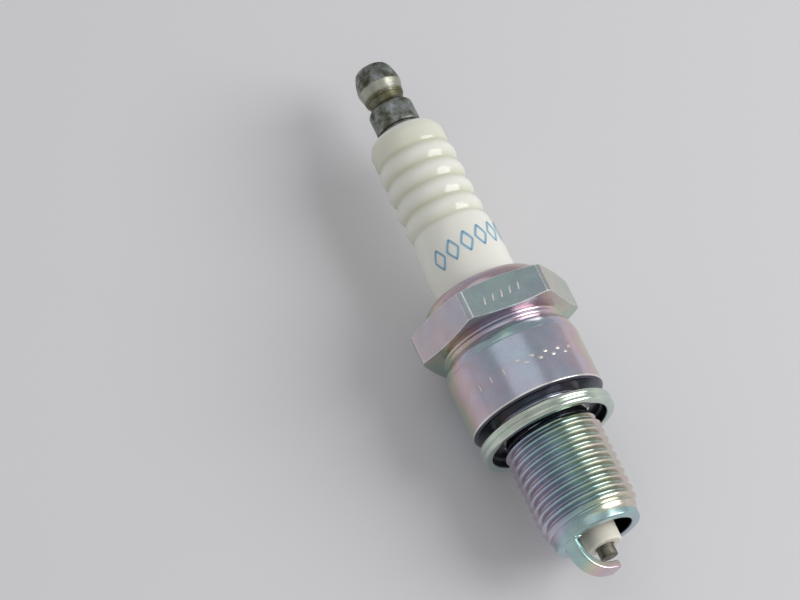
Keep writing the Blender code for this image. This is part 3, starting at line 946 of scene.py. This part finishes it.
def weld_bead():
    """The squeezed-out metal round the strap's foot. A level is how far it reaches past the bar, and its
    height above the shell's end."""
    middle = point(0, -REACH, 0) + STRAP_OUTWARD * STRAP_LEG * MM
    work = bmesh.new()
    count = 72
    squareness = 0.32
    furthest_out = 6.02
    rings = []
    levels = ((0.3, 0.05), (0.3, -0.02), (0.26, -0.12), (0.15, -0.2), (0.03, -0.25), (-0.12, -0.27))
    for reach, drop in levels:
        ring = []
        for j in range(count):
            angle = 2 * math.pi * j / count
            wave = 1 + 0.3 * math.sin(5 * angle + 0.7) * math.sin(3 * angle)
            grow = reach * wave if reach > 0 else reach
            cosine, sine = math.cos(angle), math.sin(angle)
            wide = (STRAP_WIDTH / 2 + grow) * math.copysign(abs(cosine) ** squareness, cosine)
            thick = (STRAP_THICKNESS / 2 + grow * 0.55) * math.copysign(abs(sine) ** squareness, sine)
            thick = min(thick, furthest_out - STRAP_LEG)
            offset = STRAP_SIDE * wide + STRAP_OUTWARD * thick
            height = drop * (1 + 0.25 * math.sin(4 * angle))
            ring.append(work.verts.new(middle + offset * MM + Vector((0, height * MM, 0))))
        rings.append(ring)
    capped_tube(work, rings)
    return finish_mesh(work, "side_electrode_weld", strap_zinc, "root", 60)


weld = weld_bead()

centre = lathe(
    "centre_electrode_rod",
    rounded(
        [
            (0, -18.8),
            (0.65, -18.5, 0),
            (0.65, 2.2, 0),
            (1.9, 2.2, 0.1),
            (1.9, 1.45, 0.1),
            (1.25, 0.7, 0.1),
            (1.25, -22.3, 0.14),
            (0, -22.3),
        ]
    ),
    dark_nickel(),
    "root",
    96,
)
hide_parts("centre_electrode")


# ---------------------------------------------------------------- marks

# The lift of a mark's foot, just under the surface that it stands on.
SUNK = -0.03


def raised_bands(name, radius, shapes, material, thickness):
    """Thin raised bands on a cylinder. A shape is two closed lists of (turn in degrees, height) corners,
    the band's outside and its inside."""
    work = bmesh.new()
    for shape in shapes:
        count = len(shape[0])
        layers = []
        for lift in (SUNK, thickness * 0.55, thickness):
            rings = []
            for ring in shape:
                rings.append([work.verts.new(point(radius + lift, height, turn)) for turn, height in ring])
            layers.append(rings)
        for lower, upper in zip(layers, layers[1:]):
            for ring_low, ring_up in zip(lower, upper):
                for j in range(count):
                    k = (j + 1) % count
                    work.faces.new((ring_low[j], ring_low[k], ring_up[k], ring_up[j]))
        for rings in (layers[0], layers[-1]):
            for j in range(count):
                k = (j + 1) % count
                work.faces.new((rings[0][j], rings[0][k], rings[1][k], rings[1][j]))
    return finish_mesh(work, name, material, "root", 40)


def stroke(corners, width, radius):
    """A band of even width along a closed polyline of (turn, height) corners, as its two edges. Turns are
    scaled by the radius, so that the width is even on the surface."""
    arc_length = math.radians(1) * radius
    dense = [Vector((turn * arc_length, height)) for turn, height in corners]
    middle = sum(dense, Vector((0, 0))) / len(dense)
    outer, inner = [], []
    total = len(dense)
    for index, place in enumerate(dense):
        tangent = (dense[(index + 1) % total] - dense[index - 1]).normalized()
        normal = Vector((tangent.y, -tangent.x))
        if normal.dot(place - middle) < 0:
            normal = -normal
        outer.append(place + normal * width / 2)
        inner.append(place - normal * width / 2)
    return (
        [(place.x / arc_length, place.y) for place in outer],
        [(place.x / arc_length, place.y) for place in inner],
    )


def superellipse(turn, height, wide, tall, radius, power, count=28):
    """Corners of a closed outline on a cylinder, wide and tall in millimetres: about a lozenge at power
    1, an ellipse at 2 and a rounded box above that."""
    arc_length = math.radians(1) * radius
    corners = []
    for step in range(count):
        angle = 2 * math.pi * step / count
        cosine, sine = math.cos(angle), math.sin(angle)
        across = wide / 2 * math.copysign(abs(cosine) ** (2 / power), cosine)
        along = tall / 2 * math.copysign(abs(sine) ** (2 / power), sine)
        corners.append((turn + across / arc_length, height + along))
    return corners


PRINT_RADIUS = 6.05
PRINT_COUNT = 6
PRINT_FIRST_TURN = -46
PRINT_TURN_STEP = 22
PRINT_HEIGHT = 24.5
PRINT_RISE = 0.35
LOZENGE_WIDE = 1.7
LOZENGE_TALL = 3.0
PRINT_STROKE = 0.32
PRINT_THICKNESS = 0.012


def print_bands():
    """A row of equal lozenges, each a little higher than the one before it."""
    bands = []
    for step in range(PRINT_COUNT):
        turn = PRINT_FIRST_TURN + PRINT_TURN_STEP * step
        height = PRINT_HEIGHT + PRINT_RISE * step
        corners = superellipse(turn, height, LOZENGE_WIDE, LOZENGE_TALL, PRINT_RADIUS, 1.1, 40)
        bands.append(stroke(corners, PRINT_STROKE, PRINT_RADIUS))
    return bands


marks = raised_bands("insulator_print", PRINT_RADIUS, print_bands(), ink(), PRINT_THICKNESS)


def stamp_zinc():
    """Bright burrs thrown up by a stamp."""
    look = Look("stamped_burr")
    colour = look.mix(look.noise(look.place, 1.5, 3.0), srgb(222, 216, 206), srgb(236, 236, 232))
    look.bump(look.noise(look.place, 7.0, 4.0), 0.4, 0.00003)
    return look.set(Base_Color=colour, Metallic=1.0, Roughness=0.3)


burr = stamp_zinc()
# A stamped mark from its foot up: how far it stands proud, and its size against its outline.
STAMP_LAYERS = ((SUNK, 1.0), (0.018, 1.0), (0.035, 0.8))


def solid_marks(name, outlines, place):
    """Low solid marks with eased edges. An outline is a closed list of (across, along) corners, and
    place(across, along, lift) gives the point of the frame."""
    work = bmesh.new()
    for outline in outlines:
        middle = sum((Vector(corner) for corner in outline), Vector((0, 0))) / len(outline)
        layers = []
        for lift, size in STAMP_LAYERS:
            ring = [middle + (Vector(corner) - middle) * size for corner in outline]
            layers.append([work.verts.new(place(corner.x, corner.y, lift)) for corner in ring])
        capped_tube(work, layers)
    piece = finish_mesh(work, name, burr, "root", 40)
    return piece


def on_barrel(turn, height, lift):
    """A place on the barrel, or proud of it by a lift."""
    return point(BARREL + lift, height, turn)


def on_top_flat(across, height, lift):
    """A place on the hexagon's upper flat, or proud of it by a lift."""
    return Vector((across * MM, SEAT_Y + height * MM, AXIS_Z + (FLAT + lift) * MM))


def barrel_marks():
    """A row of short bars, then two staggered rows of pips."""
    boxy = 3.0
    bar_wide, bar_tall, bar_height = 0.22, 1.05, 4.45
    pip_wide, pip_tall, pip_heights = 0.62, 0.42, (5.0, 4.3)
    outlines = []
    for step in range(4):
        turn = 12.3 * step - 64.8
        outlines.append(superellipse(turn, bar_height, bar_wide, bar_tall, BARREL, boxy))
    for step in range(9):
        turn = 6 * step - 14
        outlines.append(superellipse(turn, pip_heights[step % 2], pip_wide, pip_tall, BARREL, boxy))
    return outlines


def flat_marks():
    """A row of equal slanted bars on the hexagon's upper flat."""
    half_wide, half_tall, slant = 0.12, 0.62, 0.25
    spacing, first, height, rise = 1.3, -3.1, 14.6, 0.09
    count = 20
    bars = []
    for step in range(5):
        middle = first + spacing * step
        bar = []
        for corner in range(count):
            angle = 2 * math.pi * corner / count
            across = half_wide * math.cos(angle)
            along = half_tall * math.sin(angle)
            bar.append((middle + across + slant * along, height + rise * middle + along))
        bars.append(bar)
    return bars


solid_marks("barrel_stamps", barrel_marks(), on_barrel)
solid_marks("hexagon_stamps", flat_marks(), on_top_flat)


# ---------------------------------------------------------------- pieces kept from the frame

GLASS = ((110, 92, 80), (64, 56, 52), 0.3, 0.4)
RING_STEEL = ((190, 190, 192), (140, 140, 144), 1.0, 0.35)
INSIDE = {
    "terminal_stud": plain("stud_plating", (150, 152, 146), (96, 98, 92), 1.0, 0.42),
    "upper_glass_seal": plain("upper_seal_glass", *GLASS),
    "lower_glass_seal": plain("lower_seal_glass", *GLASS),
    "resistor_element": plain("resistor_carbon", (72, 72, 72), (40, 40, 42), 0.0, 0.75, 3.0),
    "electrode_copper_core": plain("core_copper", (226, 150, 116), (184, 112, 84), 1.0, 0.34),
    "upper_packing_ring": plain("ring_steel", *RING_STEEL),
    "lower_packing_ring": plain("lower_ring_steel", *RING_STEEL),
    "talc_packing": plain("packed_talc", (226, 226, 218), (196, 196, 186), 0.0, 0.9, 3.0),
    "seat_washer": plain("washer_copper", (214, 160, 120), (176, 126, 92), 1.0, 0.4),
}
for node, material in INSIDE.items():
    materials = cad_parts[node].data.materials
    materials.clear()
    materials.append(material)


# ---------------------------------------------------------------- floor, light and camera

FLOOR_HALF_SIZE = 1.6
# Just under the hexagon's lower flat, so that the two don't share a plane.
FLOOR_DROP = 0.00002
# Grey of the sky, from straight down at 0 to straight up at 1.
SKY_STOPS = ((0.0, 0.3), (0.5, 0.52), (0.64, 0.5), (0.8, 0.42), (1.0, 0.44))
SKY_BLUENESS = 1.01
SKY_STRENGTH = 0.93


def pale_floor():
    """A plain matt floor."""
    look = Look("pale_floor")
    tone = look.noise(look.place, 0.004, 2.0)
    look.set(
        Base_Color=look.mix(tone, srgb(222, 221, 224), srgb(228, 227, 229)),
        Roughness=0.9,
        Specular_IOR_Level=0.2,
    )
    mesh = bpy.data.meshes.new("floor")
    size = FLOOR_HALF_SIZE
    corners = [(-size, -size, 0), (size, -size, 0), (size, size, 0), (-size, size, 0)]
    mesh.from_pydata(corners, [], [(0, 1, 2, 3)])
    mesh.materials.append(look.material)
    floor = bpy.data.objects.new("floor", mesh)
    bpy.context.scene.collection.objects.link(floor)
    floor.location.z = -FLOOR_DROP


def soft_sky():
    """A soft studio sky, darkest below and brightest at the horizon."""
    world = bpy.data.worlds.new("studio")
    bpy.context.scene.world = world
    world.use_nodes = True
    tree = world.node_tree
    background = tree.nodes["Background"]
    place = tree.nodes.new("ShaderNodeTexCoord")
    split = tree.nodes.new("ShaderNodeSeparateXYZ")
    ramp = tree.nodes.new("ShaderNodeValToRGB")
    fill_ramp(ramp, [(position, (grey, grey, grey * SKY_BLUENESS)) for position, grey in SKY_STOPS])
    half = tree.nodes.new("ShaderNodeMath")
    half.operation = "MULTIPLY_ADD"
    half.inputs[1].default_value = 0.5
    half.inputs[2].default_value = 0.5
    tree.links.new(place.outputs["Generated"], split.inputs[0])
    tree.links.new(split.outputs[2], half.inputs[0])
    tree.links.new(half.outputs[0], ramp.inputs[0])
    tree.links.new(ramp.outputs[0], background.inputs["Color"])
    background.inputs["Strength"].default_value = SKY_STRENGTH


def softbox(name, direction, distance, width, height, power):
    """A rectangular lamp that faces the plug's middle from a direction."""
    lamp = bpy.data.lights.new(name, "AREA")
    lamp.shape = "RECTANGLE"
    lamp.size = width
    lamp.size_y = height
    lamp.energy = power
    thing = bpy.data.objects.new(name, lamp)
    bpy.context.scene.collection.objects.link(thing)
    middle = Vector((0, 0, AXIS_Z))
    thing.location = middle + Vector(direction).normalized() * distance
    thing.rotation_mode = "QUATERNION"
    thing.rotation_quaternion = (middle - thing.location).to_track_quat("-Z", "Y")


CAMERA_AZIMUTH = -35.55
CAMERA_ELEVATION = 64.05
CAMERA_ROLL = 12.8
CAMERA_DISTANCE = 0.4617
CAMERA_LENS = 151.2
CAMERA_AIM = Vector((-0.01076, 0.008, AXIS_Z))


def camera():
    """A long lens above the plug and to its left. Azimuth 0 looks along +Y."""
    lens = bpy.data.cameras.new("camera")
    lens.lens = CAMERA_LENS
    lens.sensor_width = 36.0
    lens.clip_start = 0.01
    lens.clip_end = 10
    thing = bpy.data.objects.new("camera", lens)
    bpy.context.scene.collection.objects.link(thing)
    turn = Matrix.Rotation(math.radians(CAMERA_AZIMUTH), 4, "Z")
    tilt = Matrix.Rotation(math.radians(90 - CAMERA_ELEVATION), 4, "X")
    roll = Matrix.Rotation(math.radians(CAMERA_ROLL), 4, "Z")
    back_off = Matrix.Translation((0, 0, CAMERA_DISTANCE))
    thing.matrix_world = Matrix.Translation(CAMERA_AIM) @ turn @ tilt @ roll @ back_off
    bpy.context.scene.camera = thing


pale_floor()
soft_sky()
softbox("window", (0.72, -0.26, 0.64), distance=0.7, width=0.42, height=0.5, power=2.85)
softbox("overhead", (-0.2, 0.3, 0.9), distance=0.9, width=0.7, height=0.7, power=0.5)
camera()
bpy.context.scene.view_settings.view_transform = "Standard"
